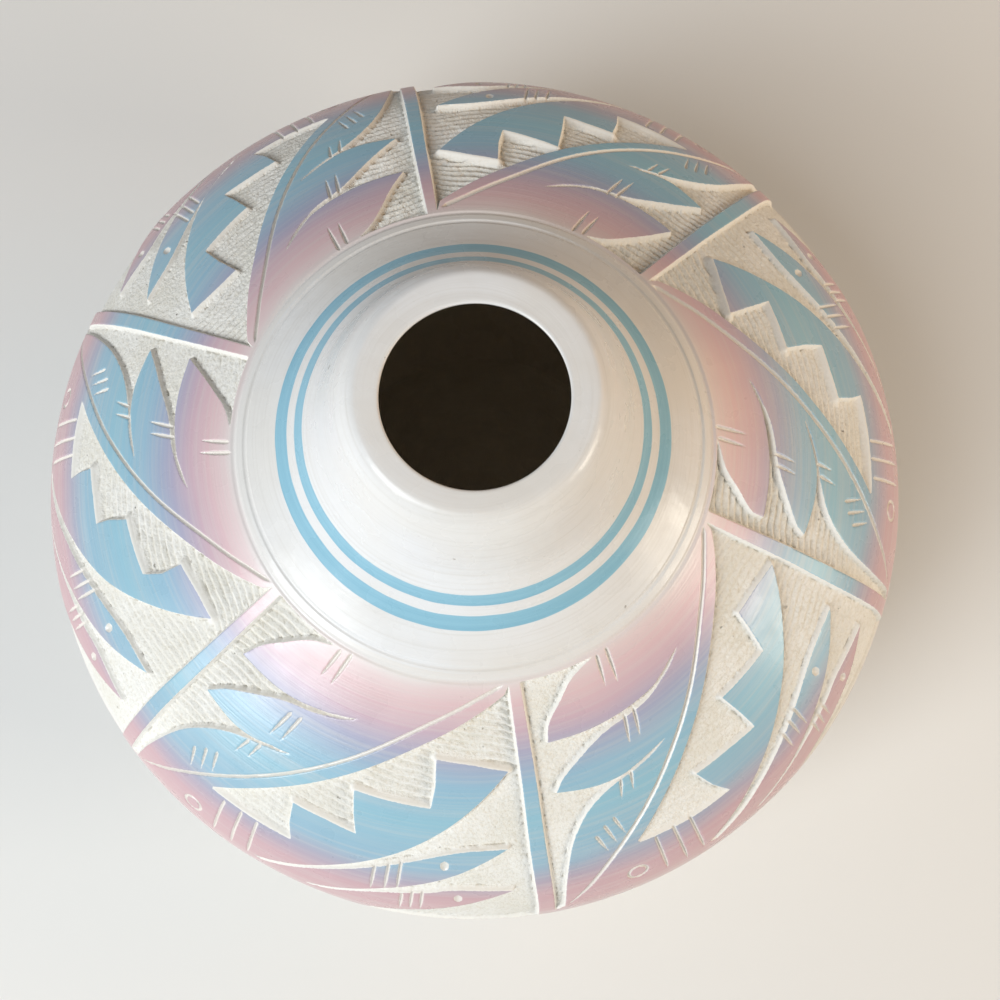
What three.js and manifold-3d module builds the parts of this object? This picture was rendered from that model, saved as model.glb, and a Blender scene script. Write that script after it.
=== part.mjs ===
// A squat pottery vase with a wide shoulder and a small rolled mouth, in millimetres, +Z up.
// It stands on its base at the origin and its axis is Z. Its clay members are the courses that a
// potter builds up and lutes for a closed form: a base slab, the lower bowl, two courses of the belly
// up to the widest line, the shoulder, the neck, and a rolled lip on the neck. The shoulder carries a
// carved band: six bars, with a stepped blade, three feathers and two fish between each two of them.

import * as THREE from 'three';
import { mergeVertices } from 'three/addons/utils/BufferGeometryUtils.js';
import Module from 'manifold-3d';

// Driving dimensions.
const bellyRadius = 125;
const bellyHeight = 70;
const shoulderRise = 54.4;
const neckSeatRadius = 57.5;
const neckRise = 21.6;
const waistRadius = 35.5;
const lipRise = 18.6;
const mouthRadius = 20;
const lipCrest = 3;
const footRadius = 54;
const baseThickness = 9;
const wallThickness = 6.5;
const grooveWidth = 1.4;
const grooveDepth = 0.8;
const grooveOffset = 1.5;
const carveDepth = 1.6;
const bandFoot = 4;
const bandTop = 3.4;

// Headings of the outline in degrees: 0 runs outwards, 90 straight up and 180 inwards.
const footHeading = 32;
const shoulderHeading = 153;
const waistHeading = 112;

// The bars of the carved band, in degrees clockwise from +X. They were stepped off by eye. A bar's
// painted strip reaches as far as its edge, in percent of the way to the next bar.
const barAngles = [19, 81, 142, 202, 260, 316];
const barEdge = 2.7;

// Where the bowl and the two belly courses are luted, as shares of the curve up to the widest line.
const bowlSeamShare = 0.4;
const bellySeamShare = 0.7;

// How far the curve of each member follows the headings of its two ends, as shares of its reach.
const bowlEase = [0.35, 0.4];
const shoulderEase = [0.28, 0.35];
const neckEase = [0.25, 0.35];
const lipEase = [0.35, 0.35];
const rollEase = [0.55, 0.55];

// How finely the members are faceted: round the axis, and along the sections of the walls.
const turnSegments = 54;
const courseSteps = 3;
const courseInnerSteps = 2;
const shoulderSteps = 8;
const shoulderInnerSteps = 4;
const neckSteps = 7;
const neckInnerSteps = 4;
const lipSteps = 7;
const rollSteps = 4;
const throatSteps = 3;
const sweepSteps = 2;

// How far a plug of carved ground stands above the wall, which keeps its flat facets clear of it.
const plugRise = 20;

const slipColour = 0xe6e4df;
const paintColour = 0xc4cdd6;
const bareClayColour = 0xdedac9;
const slipRoughness = 0.6;
const clayRoughness = 0.85;

const manifoldLibrary = await Module();
manifoldLibrary.setup();

// A station is a point of the outer outline with the direction that the outline has there.
function station(radius, height, heading) {
  const angle = THREE.MathUtils.degToRad(heading);
  return {
    point: new THREE.Vector2(radius, height),
    direction: new THREE.Vector2(Math.cos(angle), Math.sin(angle)),
  };
}

const neckSeatHeight = bellyHeight + shoulderRise;
const waistHeight = neckSeatHeight + neckRise;
const lipTop = waistHeight + lipRise;
const footAngle = THREE.MathUtils.degToRad(footHeading);
const slabRadius = footRadius + baseThickness / Math.tan(footAngle);

const slabEdge = station(slabRadius, baseThickness, footHeading);
const belly = station(bellyRadius, bellyHeight, 90);
const neckSeat = station(neckSeatRadius, neckSeatHeight, shoulderHeading);
const waist = station(waistRadius, waistHeight, waistHeading);
const crest = station(mouthRadius + lipCrest, lipTop, 180);
const mouth = station(mouthRadius, lipTop - lipCrest, 270);

// A smooth curve between two stations.
function curveBetween(from, to, [leaveEase, arriveEase]) {
  const reach = from.point.distanceTo(to.point);
  return new THREE.CubicBezierCurve(
    from.point,
    from.point.clone().addScaledVector(from.direction, reach * leaveEase),
    to.point.clone().addScaledVector(to.direction, -reach * arriveEase),
    to.point,
  );
}

// The point that lies a given depth under the outline, on the side of the clay.
function under(point, direction, depth) {
  return new THREE.Vector2(point.x - direction.y * depth, point.y + direction.x * depth);
}

// The station where a wall is luted, part of the way along its curve.
function stationAlong(curve, share) {
  return { point: curve.getPoint(share), direction: curve.getTangent(share), share };
}

// Points on a wall's curve from one station to another, some depth under the outline. The two ends
// lie square to the wall, so that the next member meets it on the whole of its edge.
function wallFace(from, to, curve, steps, depth = 0) {
  const start = from.share ?? 0;
  const end = to.share ?? 1;
  return Array.from({ length: steps + 1 }, (unused, index) => {
    const share = THREE.MathUtils.lerp(start, end, index / steps);
    const ends = { 0: from.direction, [steps]: to.direction };
    return under(curve.getPoint(share), ends[index] ?? curve.getTangent(share), depth);
  });
}

// The three points of a cut groove, at a distance along the outline from a station.
function groove(seat, distance) {
  const middle = seat.point.clone().addScaledVector(seat.direction, distance);
  return [
    middle.clone().addScaledVector(seat.direction, -grooveWidth / 2),
    under(middle, seat.direction, grooveDepth),
    middle.clone().addScaledVector(seat.direction, grooveWidth / 2),
  ];
}

// A section turned round the axis. The section closes on itself, unless it starts and ends there.
function turned(section) {
  const onAxis = section[0].x === 0;
  const geometry = new THREE.LatheGeometry(onAxis ? section : [...section, section[0]], turnSegments);
  return geometry.rotateX(Math.PI / 2);
}

// A member is its geometry under its name, in the colour of its clay or slip.
function member(name, geometry, colour, roughness = slipRoughness) {
  const material = new THREE.MeshStandardMaterial({ color: colour, roughness, metalness: 0 });
  const mesh = new THREE.Mesh(geometry, material);
  mesh.name = name;
  return mesh;
}

// A geometry as a solid that can be cut, and a solid as a geometry again.
function toSolid(geometry) {
  const shared = mergeVertices(geometry.clone().deleteAttribute('normal').deleteAttribute('uv'));
  return new manifoldLibrary.Manifold(
    new manifoldLibrary.Mesh({
      numProp: 3,
      vertProperties: new Float32Array(shared.attributes.position.array),
      triVerts: new Uint32Array(shared.index.array),
    }),
  );
}

function toGeometry(solid) {
  const { vertProperties, triVerts } = solid.getMesh();
  const geometry = new THREE.BufferGeometry();
  geometry.setAttribute('position', new THREE.BufferAttribute(vertProperties, 3));
  geometry.setIndex(new THREE.BufferAttribute(triVerts, 1));
  return geometry;
}

const bowlCurve = curveBetween(slabEdge, belly, bowlEase);
const shoulderCurve = curveBetween(belly, neckSeat, shoulderEase);
const neckCurve = curveBetween(neckSeat, waist, neckEase);
const bowlSeam = stationAlong(bowlCurve, bowlSeamShare);
const bellySeam = stationAlong(bowlCurve, bellySeamShare);

// The carved band is drawn on a sheet in percent: across from one bar to the next, and up from the
// foot of the band to its top. This is a point of the sheet.
function at(across, up) {
  return new THREE.Vector2(across / 100, up / 100);
}

// A smooth line through a few points of the sheet.
function sweep(...points) {
  return new THREE.SplineCurve(points).getPoints(sweepSteps * (points.length - 1));
}

// The ground cut away after a bar. It runs down beside the bar and reaches between the spine and
// the steps of the blade, between the blade and the upper fish, between the fish, and under them.
function groundAfterBar() {
  return [
    at(barEdge, 98),
    ...sweep(at(4.3, 97), at(25, 83.6), at(50, 62.7), at(77.7, 31.1)),
    at(56.8, 30.6),
    at(60.2, 45.3),
    at(43.7, 43.7),
    at(45.3, 61.2),
    at(27.2, 59),
    at(26.7, 77.1),
    ...sweep(at(6.3, 72), at(31.7, 42), at(63.3, 10.2)),
    ...sweep(at(61.7, 9.6), at(30, 37.1), at(6.8, 44.2)),
    ...sweep(at(12.5, 39.2), at(30.8, 25.3), at(51.7, 9)),
    ...sweep(at(50, 8.8), at(25, 24.1), at(6.5, 25.7)),
    ...sweep(at(12.5, 21.4), at(36.7, 6)),
    at(40, 0),
    at(barEdge, 0),
  ];
}

// The ground cut away before the next bar, with two fingers that part the three feathers.
function groundBeforeBar() {
  return [
    at(100 - barEdge, 100),
    at(100 - barEdge, 4.8),
    ...sweep(at(96, 7.2), at(90, 42.2), at(64.2, 60.8)),
    ...sweep(at(78.3, 57.8), at(93, 59)),
    ...sweep(at(80, 70.8), at(47.5, 83.4)),
    ...sweep(at(66.7, 78.2), at(92.3, 77.5)),
    ...sweep(at(87.7, 84.6), at(67.3, 100)),
  ];
}

// A point of the sheet on the vase, in one sixth of the band and some depth under the outline.
function onShoulder(sixth, drawn, depth) {
  const length = shoulderCurve.getLength();
  const share = THREE.MathUtils.lerp(bandFoot, length - bandTop, drawn.y) / length;
  const flat = under(shoulderCurve.getPointAt(share), shoulderCurve.getTangentAt(share), depth);
  const bar = barAngles[sixth];
  const nextBar = barAngles[sixth + 1] ?? barAngles[0] + 360;
  const angle = THREE.MathUtils.degToRad(THREE.MathUtils.lerp(bar, nextBar, drawn.x));
  return new THREE.Vector3(flat.x * Math.cos(angle), -flat.x * Math.sin(angle), flat.y);
}

// A drawn outline as a solid plug across the wall, from far above the wall's face to its inner face.
function plug(sixth, outline) {
  const count = outline.length;
  const top = outline.map((drawn) => onShoulder(sixth, drawn, -plugRise));
  const bottom = outline.map((drawn) => onShoulder(sixth, drawn, wallThickness));
  const faces = THREE.ShapeUtils.triangulateShape(outline, []);
  const indices = faces.flatMap(([a, b, c]) => [c, b, a, a + count, b + count, c + count]);
  outline.forEach((unused, here) => {
    const next = (here + 1) % count;
    indices.push(next, here, here + count, next, here + count, next + count);
  });
  const geometry = new THREE.BufferGeometry().setFromPoints([...top, ...bottom]);
  return geometry.setIndex(indices);
}

// The shoulder's outline at some depth. The floor of the carving follows the face above it.
function shoulderFace(depth) {
  return wallFace(belly, neckSeat, shoulderCurve, shoulderSteps, depth);
}

// All the clay that is carved away: the plugs of the six sixths, where they cross the outer skin of
// the wall down to the depth of the carving.
function carvedAway() {
  const skin = toSolid(turned([...shoulderFace(-carveDepth), ...shoulderFace(carveDepth).reverse()]));
  const plugs = barAngles.flatMap((unused, sixth) => [
    toSolid(plug(sixth, groundAfterBar())),
    toSolid(plug(sixth, groundBeforeBar())),
  ]);
  return skin.intersect(plugs.reduce((all, one) => all.add(one)));
}

// The base slab is a flat disc whose edge carries on the slope of the bowl.
function makeBase() {
  const section = [
    new THREE.Vector2(0, 0),
    new THREE.Vector2(footRadius, 0),
    slabEdge.point,
    new THREE.Vector2(0, baseThickness),
  ];
  return member('base_slab', turned(section), bareClayColour, clayRoughness);
}

// The lower bowl stands on the slab.
function makeLowerBowl() {
  const outer = wallFace(slabEdge, bowlSeam, bowlCurve, courseSteps);
  const inner = wallFace(slabEdge, bowlSeam, bowlCurve, courseInnerSteps, wallThickness);
  const innerSeat = new THREE.Vector2(slabRadius - wallThickness / Math.sin(footAngle), baseThickness);
  return member('lower_bowl', turned([...outer, ...inner.reverse(), innerSeat]), slipColour);
}

// The two belly courses carry on from the bowl up to the widest line.
function makeBellyCourse(name, from, to) {
  const outer = wallFace(from, to, bowlCurve, courseSteps);
  const inner = wallFace(from, to, bowlCurve, courseInnerSteps, wallThickness);
  return member(name, turned([...outer, ...inner.reverse()]), slipColour);
}

// The shoulder closes over the belly, ends in the seat of the neck and carries the carved band.
function makeShoulder() {
  const face = shoulderFace(0);
  const outer = [...face.slice(0, -1), ...groove(neckSeat, -grooveOffset), neckSeat.point];
  const inner = wallFace(belly, neckSeat, shoulderCurve, shoulderInnerSteps, wallThickness);
  const wall = toSolid(turned([...outer, ...inner.reverse()]));
  return member('shoulder', toGeometry(wall.subtract(carvedAway())), paintColour);
}

// The neck sweeps up from its seat to the waist under the lip.
function makeNeck() {
  const face = wallFace(neckSeat, waist, neckCurve, neckSteps);
  const outer = [neckSeat.point, ...groove(neckSeat, grooveOffset), ...face.slice(1)];
  const inner = wallFace(neckSeat, waist, neckCurve, neckInnerSteps, wallThickness);
  return member('neck', turned([...outer, ...inner.reverse()]), slipColour);
}

// The lip is a thick roll. Its inner face runs from the neck's inner edge up to the mouth.
function makeLip() {
  const outer = curveBetween(waist, crest, lipEase).getPoints(lipSteps);
  const roll = curveBetween(crest, mouth, rollEase).getPoints(rollSteps);
  const innerWaist = {
    point: under(waist.point, waist.direction, wallThickness),
    direction: waist.direction.clone().negate(),
  };
  const throat = curveBetween(mouth, innerWaist, lipEase).getPoints(throatSteps);
  return member('rolled_lip', turned([...outer, ...roll.slice(1), ...throat.slice(1)]), slipColour);
}

const vase = new THREE.Group();
vase.add(makeBase(), makeLowerBowl());
vase.add(makeBellyCourse('lower_belly', bowlSeam, bellySeam));
vase.add(makeBellyCourse('upper_belly', bellySeam, belly));
vase.add(makeShoulder(), makeNeck(), makeLip());

export default vase;
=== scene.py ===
# A squat pottery vase with a wide carved and painted shoulder, a short neck with two painted rings,
# a thick rolled lip and a small mouth. It is built up here as a potter builds it: from the foot to
# the lip, each member from the frame's own sizes.

import math

import bpy
import numpy as np
from mathutils import Matrix, Vector


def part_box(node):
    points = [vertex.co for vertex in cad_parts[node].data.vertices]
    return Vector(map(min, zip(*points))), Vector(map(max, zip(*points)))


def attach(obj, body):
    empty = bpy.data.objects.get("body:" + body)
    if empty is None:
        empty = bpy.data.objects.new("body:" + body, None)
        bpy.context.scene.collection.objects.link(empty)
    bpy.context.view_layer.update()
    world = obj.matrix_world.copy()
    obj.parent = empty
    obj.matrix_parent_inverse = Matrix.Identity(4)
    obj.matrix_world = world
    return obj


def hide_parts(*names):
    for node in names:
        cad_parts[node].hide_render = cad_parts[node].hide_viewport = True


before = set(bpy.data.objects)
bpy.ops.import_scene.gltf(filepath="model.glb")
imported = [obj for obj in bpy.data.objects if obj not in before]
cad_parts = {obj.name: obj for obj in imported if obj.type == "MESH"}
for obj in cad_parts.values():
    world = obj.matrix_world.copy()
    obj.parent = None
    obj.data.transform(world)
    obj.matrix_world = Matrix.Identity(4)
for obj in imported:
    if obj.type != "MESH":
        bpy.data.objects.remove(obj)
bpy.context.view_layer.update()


# Base slab: the flat disc that the vase stands on, thrown first and left as bare ivory clay. Its
# edge is trimmed on the slope of the bowl, and its underside keeps fine rings from the turning tool.

mm = 0.001
wall = 6.5 * mm
turn_steps = 480
foot_heading = 32
slab_radius, slab_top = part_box("base_slab")[1].yz
foot_radius = slab_radius - slab_top / math.tan(math.radians(foot_heading))
foot_round = 1.2 * mm
crisp_angle = 62
wheel = {"Ridge Pitch": 5 * mm, "Ridge Height": 0.12 * mm, "Hand Wobble": 0.5 * mm, "Seed": 2.0}


def colour(code):
    """A colour written as a hex code, as the linear values that the shaders take."""
    parts = [int(code[i : i + 2], 16) / 255 for i in (1, 3, 5)]
    return [c / 12.92 if c < 0.04045 else ((c + 0.055) / 1.055) ** 2.4 for c in parts] + [1.0]


def connect(tree, node, wires):
    """Gives the inputs of a node their wires or their values."""
    for name, value in wires.items():
        if isinstance(value, bpy.types.NodeSocket):
            tree.links.new(value, node.inputs[name])
        else:
            node.inputs[name].default_value = value


def put(tree, kind, wires=None, **settings):
    """Adds a node to a tree. Its settings are given by name, and its wires or values by socket."""
    made = tree.nodes.new(kind)
    for name, value in settings.items():
        setattr(made, name, value)
    connect(tree, made, wires or {})
    return made


def reckon(tree, operation, *values):
    """A Math node on wires or numbers."""
    return put(tree, "ShaderNodeMath", dict(enumerate(values)), operation=operation).outputs[0]


def times(tree, first, second):
    """One wire or number times another."""
    return reckon(tree, "MULTIPLY", first, second)


def ramp(tree, value, low, high, start=0.0, end=1.0):
    """A value's climb from start to end while it goes from low to high, eased at both ends."""
    wires = {"Value": value, "From Min": low, "From Max": high, "To Min": start, "To Max": end}
    return put(tree, "ShaderNodeMapRange", wires, interpolation_type="SMOOTHSTEP").outputs[0]


def noise(tree, position, size, detail=2.0, rough=0.5, seed=0.0):
    """Soft noise between 0 and 1 with lumps of about a given size."""
    scale = reckon(tree, "DIVIDE", 1.0, size)
    wires = {"Vector": position, "W": seed, "Scale": scale, "Detail": detail, "Roughness": rough}
    return put(tree, "ShaderNodeTexNoise", wires, noise_dimensions="4D").outputs[0]


def shake(tree, position, size, detail, seed):
    """Soft noise between -0.5 and 0.5."""
    return reckon(tree, "SUBTRACT", noise(tree, position, size, detail, seed=seed), 0.5)


def blend(tree, share, first, second):
    """One colour laid over another by a share. The node takes colours at its sockets 6 and 7."""
    wires = {"Factor": share, 6: first, 7: second}
    return put(tree, "ShaderNodeMix", wires, data_type="RGBA").outputs[2]


def from_axis(tree, position):
    """How far a position lies from the axis that the vase is turned on."""
    flat = put(tree, "ShaderNodeVectorMath", {0: position, 1: (1, 1, 0)}, operation="MULTIPLY")
    wires = {0: flat.outputs[0]}
    return put(tree, "ShaderNodeVectorMath", wires, operation="LENGTH").outputs["Value"]


def turning_lines(tree, position, pitch, seed):
    """The fine rings that a turning wheel leaves, as noise drawn out round the axis."""
    parts = put(tree, "ShaderNodeSeparateXYZ", {0: position}).outputs
    drift = 0.02
    across = reckon(tree, "ADD", from_axis(tree, position), times(tree, parts[0], drift))
    upward = reckon(tree, "ADD", parts[2], times(tree, parts[1], drift))
    drawn_out = put(tree, "ShaderNodeCombineXYZ", {0: across, 2: upward}).outputs[0]
    return noise(tree, drawn_out, pitch, 3.0, 0.6, seed)


def material_base(name):
    """An empty material: its tree, its shader, and the position on the piece."""
    made = bpy.data.materials.new(name)
    made.use_nodes = True
    tree = made.node_tree
    shader = tree.nodes["Principled BSDF"]
    return made, tree, shader, put(tree, "ShaderNodeTexCoord").outputs["Object"]


def emboss(tree, shader, *layers):
    """Stacks layers of fine relief under a shader. Each is a height and how far it stands out."""
    normal = None
    for height, rise in layers:
        wires = {"Height": height, "Distance": rise, "Strength": 1.0}
        if normal:
            wires["Normal"] = normal
        normal = put(tree, "ShaderNodeBump", wires).outputs[0]
    connect(tree, shader, {"Normal": normal})


def clay_colour(tree, position):
    """Fired ivory clay: warm and cool clouds, with a fine speckle of darker grit."""
    clouds = ramp(tree, noise(tree, position, 14 * mm, 3.0), 0.35, 0.65)
    grit = ramp(tree, noise(tree, position, 0.6 * mm, 1.0, seed=3.0), 0.66, 0.8)
    body = blend(tree, clouds, colour("#ECEAE4"), colour("#E5E2D9"))
    return blend(tree, times(tree, grit, 0.35), body, colour("#9C9079"))


def inner_shade(tree, skin):
    """Lays the pale wash of the inside over the skin, from the piece's own inside mark."""
    inside = put(tree, "ShaderNodeAttribute", attribute_name="inside").outputs["Fac"]
    return blend(tree, ramp(tree, inside, 0.45, 0.55), skin, colour("#EBE0CE"))


def bare_clay():
    """Matt fired clay, a little sandy to the touch."""
    made, tree, shader, position = material_base("bare_clay")
    skin = inner_shade(tree, clay_colour(tree, position))
    connect(tree, shader, {"Base Color": skin, "Roughness": 0.9, "Specular IOR Level": 0.25})
    sand = noise(tree, position, 0.45 * mm, 3.0, 0.6)
    rings = turning_lines(tree, position, 0.9 * mm, 5.0)
    emboss(tree, shader, (rings, 0.25 * mm), (sand, 0.12 * mm))
    return made


def direction(heading):
    """A direction in the vase's section: 0 is outwards, 90 straight up and 180 inwards."""
    return np.array([math.cos(math.radians(heading)), math.sin(math.radians(heading))])


def outline(start, end, leave, arrive):
    """A smooth line between two points of the section, each with a radius, a height and a heading.
    The line keeps to the headings for two shares of the way, one as it leaves, one as it arrives."""
    low, high = np.array(start[:2]), np.array(end[:2])
    reach = np.linalg.norm(high - low)
    bend = low + direction(start[2]) * reach * leave
    rejoin = high - direction(end[2]) * reach * arrive

    def at(share):
        """The points at some shares of the way, and the directions out of the wall there."""
        t = np.asarray(share, float)[:, None]
        s = 1 - t
        point = s**3 * low + 3 * s * s * t * bend + 3 * s * t * t * rejoin + t**3 * high
        way = s * s * (bend - low) + 2 * s * t * (rejoin - bend) + t * t * (high - rejoin)
        way /= np.linalg.norm(way, axis=1)[:, None]
        return point, np.stack([way[:, 1], -way[:, 0]], axis=1)

    return at


def empty_tree(name, takes, inputs):
    """A geometry tree that takes a mesh, a material and its own named inputs, listed by kind."""
    tree = bpy.data.node_groups.new(name, "GeometryNodeTree")
    for kind, names in {"Geometry": [takes], **inputs, "Material": ["Material"]}.items():
        for each in names:
            tree.interface.new_socket(each, in_out="INPUT", socket_type="NodeSocket" + kind)
    tree.interface.new_socket("Finished", in_out="OUTPUT", socket_type="NodeSocketGeometry")
    return tree, put(tree, "NodeGroupInput").outputs


def named(tree, name, kind="FLOAT"):
    """A mark that each point of the mesh carries."""
    return put(tree, "GeometryNodeInputNamedAttribute", {"Name": name}, data_type=kind).outputs[0]


def stored(tree, mesh, name, value, kind="FLOAT"):
    """Leaves a value on each point of the mesh as a named mark."""
    wires = {"Geometry": mesh, "Name": name, "Value": value}
    return put(tree, "GeometryNodeStoreNamedAttribute", wires, data_type=kind, domain="POINT").outputs[0]


def shifted(tree, mesh, way, amount):
    """Moves each point of the mesh some way along a vector."""
    shift = put(tree, "ShaderNodeVectorMath", {0: way, "Scale": amount}, operation="SCALE").outputs[0]
    return put(tree, "GeometryNodeSetPosition", {"Geometry": mesh, "Offset": shift}).outputs[0]


def end_tree(tree, mesh, material):
    """Ends a geometry tree with a whole, smoothly shaded mesh of one material."""
    smooth = put(tree, "GeometryNodeSetShadeSmooth", {"Geometry": mesh}).outputs[0]
    whole = put(tree, "GeometryNodeRealizeInstances", {"Geometry": smooth}).outputs[0]
    painted = put(tree, "GeometryNodeSetMaterial", {"Geometry": whole, "Material": material})
    put(tree, "NodeGroupOutput", {0: painted.outputs[0]})


def turning_tree():
    """Nodes that turn a section round the axis and leave the wheel's soft ridges on its skin. The
    whole may lean a little between two heights, and the mouth may be cut off the centre."""
    tree, given = empty_tree("turn a section", "Section", {
        "Int": ["Steps Round", "Closed Section"],
        "Float": ["Ridge Pitch", "Ridge Height", "Hand Wobble", "Seed",
                  "Lean From", "Lean To", "Mouth Radius"],
        "Vector": ["Lean", "Mouth Shift"],
    })
    crown_breadth = 7 * mm

    def sampled(value, index, kind="FLOAT_VECTOR"):
        wires = {"Geometry": given["Section"], "Index": index, "Value": value}
        return put(tree, "GeometryNodeSampleIndex", wires, data_type=kind, domain="POINT").outputs[0]

    points = put(tree, "GeometryNodeAttributeDomainSize", {0: given["Section"]}).outputs["Point Count"]
    rows = reckon(tree, "ADD", points, given["Closed Section"])
    columns = reckon(tree, "ADD", given["Steps Round"], 1)
    grid = put(tree, "GeometryNodeMeshGrid", {"Vertices X": columns, "Vertices Y": rows}).outputs["Mesh"]
    index = put(tree, "GeometryNodeInputIndex").outputs[0]
    column = reckon(tree, "FLOOR", reckon(tree, "DIVIDE", reckon(tree, "ADD", index, 0.5), rows))
    row = reckon(tree, "SUBTRACT", index, times(tree, column, rows))
    row = reckon(tree, "MODULO", row, points)
    angle = times(tree, reckon(tree, "DIVIDE", column, given["Steps Round"]), 2 * math.pi)

    def turned(vector):
        wires = {"Vector": vector, "Angle": angle}
        return put(tree, "ShaderNodeVectorRotate", wires, rotation_type="Z_AXIS").outputs[0]

    spot = put(tree, "GeometryNodeInputPosition").outputs[0]
    place = turned(sampled(spot, row))
    out = turned(sampled(named(tree, "out", "FLOAT_VECTOR"), row))
    skin = stored(tree, grid, "out", out, "FLOAT_VECTOR")
    skin = stored(tree, skin, "inside", sampled(named(tree, "inside"), row, "FLOAT"))
    skin = put(tree, "GeometryNodeSetPosition", {"Geometry": skin, "Position": place}).outputs[0]
    wires = {"Geometry": skin, "Distance": 0.002 * mm}
    skin = put(tree, "GeometryNodeMergeByDistance", wires).outputs[0]
    skin = shifted(tree, skin, named(tree, "out", "FLOAT_VECTOR"), wheel_height(tree, spot, given))
    rise = put(tree, "ShaderNodeSeparateXYZ", {0: spot}).outputs[2]
    wires = {"Value": rise, "From Min": given["Lean From"], "From Max": given["Lean To"]}
    skin = shifted(tree, skin, given["Lean"], put(tree, "ShaderNodeMapRange", wires).outputs[0])
    crown_end = reckon(tree, "ADD", given["Mouth Radius"], crown_breadth)
    share = ramp(tree, from_axis(tree, spot), given["Mouth Radius"], crown_end, 1, 0)
    skin = shifted(tree, skin, given["Mouth Shift"], share)
    end_tree(tree, skin, given["Material"])
    return tree


def wheel_height(tree, spot, given):
    """How far the skin stands off its true line: soft ridges from the wheel and the hand's wobble."""
    ridges = reckon(tree, "SUBTRACT", turning_lines(tree, spot, given["Ridge Pitch"], given["Seed"]), 0.5)
    ridges = times(tree, ridges, given["Ridge Height"])
    wobble = times(tree, shake(tree, spot, 45 * mm, 1.0, given["Seed"]), given["Hand Wobble"])
    return reckon(tree, "ADD", ridges, wobble)


def attribute(mesh, name, kind, values):
    """Stores one value or vector for each point of a mesh."""
    layer = mesh.attributes.new(name, kind, "POINT")
    field = "vector" if kind == "FLOAT_VECTOR" else "value"
    layer.data.foreach_set(field, np.asarray(values, np.float32).ravel())


def finished_by_nodes(piece, tree, settings):
    """Runs a piece through a node tree, by the names of the tree's inputs, to its own plain mesh."""
    modifier = piece.modifiers.new(tree.name, "NODES")
    modifier.node_group = tree
    for item in tree.interface.items_tree:
        if item.in_out == "INPUT" and item.name in settings:
            modifier[item.identifier] = settings[item.name]
    graph = bpy.context.evaluated_depsgraph_get()
    piece.data = bpy.data.meshes.new_from_object(piece.evaluated_get(graph))
    piece.modifiers.clear()
    piece.data.set_sharp_from_angle(angle=math.radians(crisp_angle))
    return piece


def new_object(name, data):
    """A new object in the scene, at the origin."""
    made = bpy.data.objects.new(name, data)
    bpy.context.scene.collection.objects.link(made)
    return made


def turned_member(name, points, outs, inside, material, closed=True, **changes):
    """A clay member turned from its section, which lists the outer face upwards and then the inner."""
    mesh = bpy.data.meshes.new(name)
    mesh.from_pydata([(r, 0, z) for r, z in points], [(i, i + 1) for i in range(len(points) - 1)], [])
    attribute(mesh, "out", "FLOAT_VECTOR", [(r, 0, z) for r, z in outs])
    attribute(mesh, "inside", "FLOAT", inside)
    settings = {
        "Steps Round": turn_steps,
        "Closed Section": int(closed),
        "Lean To": 1.0,
        "Material": material,
    }
    return finished_by_nodes(new_object(name, mesh), turn_a_section, {**settings, **wheel, **changes})


def dress(piece, node):
    """Hangs a finished piece in the frame in place of its node."""
    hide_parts(node)
    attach(piece, "root")


turn_a_section = turning_tree()
round_centre = np.array([foot_radius - foot_round, foot_round])
rounded = [tuple(round_centre + foot_round * direction(a)) for a in np.linspace(-90, foot_heading - 90, 7)]
under = [(r, 0) for r in np.linspace(0, foot_radius - foot_round, 40)[:-1]]
edge_shares = np.linspace(0, 1, 14)[1:]
edge_end = np.array([slab_radius, slab_top])
edge = [tuple(np.array(rounded[-1]) * (1 - t) + edge_end * t) for t in edge_shares]
floor_inside = [(r, slab_top) for r in np.linspace(slab_radius, 0, 12)[1:]]
slab_points = under + rounded + edge + floor_inside
edge_outs = [tuple(direction(foot_heading - 90) * t) for t in edge_shares]
slab_outs = [(0, 0)] * len(under + rounded) + edge_outs + [(0, 0)] * len(floor_inside)
slab_inside = [0] * len(under + rounded + edge) + [1] * len(floor_inside)
base_slab = turned_member("foot_disc", slab_points, slab_outs, slab_inside, bare_clay(), closed=False)
dress(base_slab, "base_slab")


# Lower bowl and belly: three courses of the thrown wall, luted one on the other up to the widest
# line and dipped in white slip, which is burnished to a soft sheen. The foot stays bare clay.

belly_radius, belly_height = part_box("upper_belly")[1].yz
# The seams are shares of the way from the slab to the widest line.
bowl_seam = 0.4
belly_seam = 0.7
course_row = 0.9 * mm


def slip_colour(tree, position):
    """Off-white slip, with faint warm clouds and paler and darker lines from the turning."""
    clouds = ramp(tree, noise(tree, position, 30 * mm, 2.0, seed=1.0), 0.3, 0.7)
    body = blend(tree, clouds, colour("#E3E3E3"), colour("#DFDCD7"))
    lines = ramp(tree, turning_lines(tree, position, 0.9 * mm, 9.0), 0.45, 0.75)
    lined = blend(tree, times(tree, lines, 0.4), body, colour("#CDC9C2"))
    specks = ramp(tree, noise(tree, position, 2.2 * mm, 0.0, seed=21.0), 0.86, 0.89)
    return blend(tree, times(tree, specks, 0.7), lined, colour("#857A6B"))


def burnish(tree, shader, position, skin):
    """Finishes a skin of slip: satin, uneven, with the finest turning lines in its surface. On the
    inside it gives way to the pale wash."""
    rubbed = ramp(tree, noise(tree, position, 9 * mm, 3.0, seed=4.0), 0.3, 0.7, 0.22, 0.36)
    skin = inner_shade(tree, skin)
    connect(tree, shader, {"Base Color": skin, "Roughness": rubbed, "Specular IOR Level": 0.45})
    fine = turning_lines(tree, position, 0.5 * mm, 6.0)
    soft = noise(tree, position, 6 * mm, 2.0, seed=2.0)
    emboss(tree, shader, (soft, 0.2 * mm), (fine, 0.035 * mm))


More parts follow.
